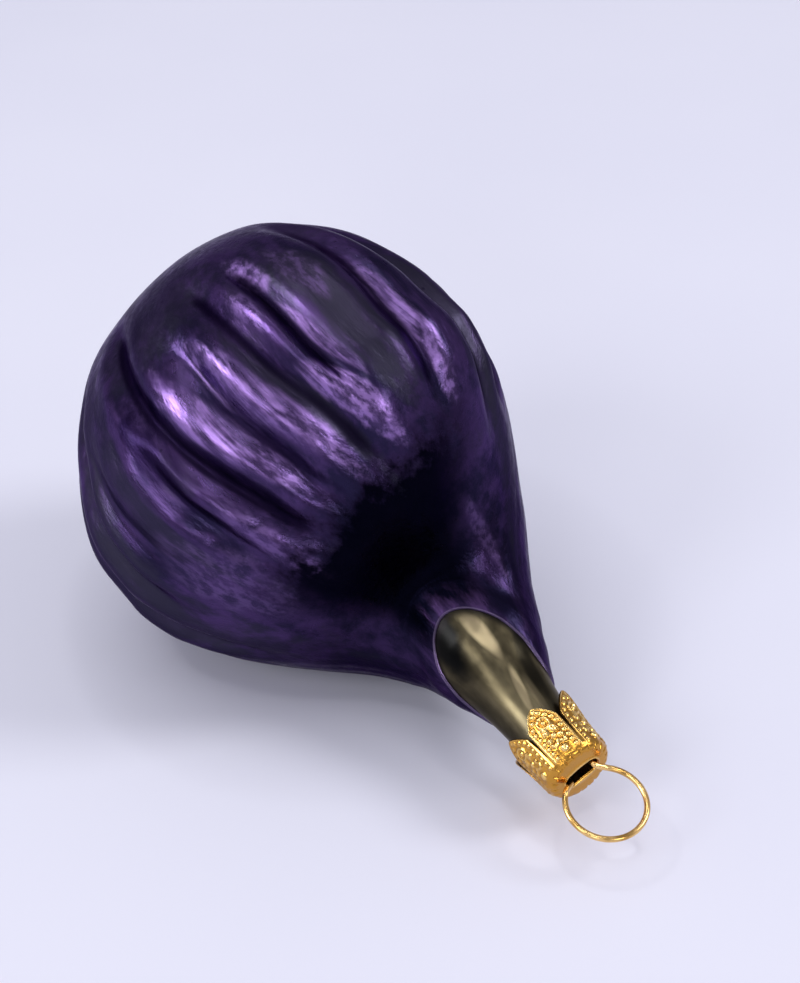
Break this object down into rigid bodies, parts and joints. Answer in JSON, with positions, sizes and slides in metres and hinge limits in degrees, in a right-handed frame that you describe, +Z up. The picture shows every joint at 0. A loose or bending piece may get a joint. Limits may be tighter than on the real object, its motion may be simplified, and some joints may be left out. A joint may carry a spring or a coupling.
{
  "type": "glass fig ornament",
  "caption": "Hollow blown-glass fig with pleated sides, lying on its side, with a stamped metal crown cap on its stem and a wire ring to hang it by.",
  "frame": {"origin": "middle of the small flat spot under the bulb, on which the fig lies", "axes": "+Z up from the surface it lies on, +X from the blossom end towards the stem, the cap and the ring, +Y level and square to both"},
  "size_m": [0.1064, 0.0686, 0.0664],
  "materials": {
    "purple_lacquer": "satin translucent purple lacquer over silvered glass",
    "olive_lacquer": "satin olive and old-gold lacquer over silvered glass, on the stem",
    "stamped_brass": "bright gold, embossed",
    "brass_wire": "bright drawn wire"
  },
  "bodies": {
    "root": {"glass_fig": "purple_lacquer", "crown_cap": "stamped_brass", "wire_hanger": "brass_wire"}
  },
  "joints": []
}
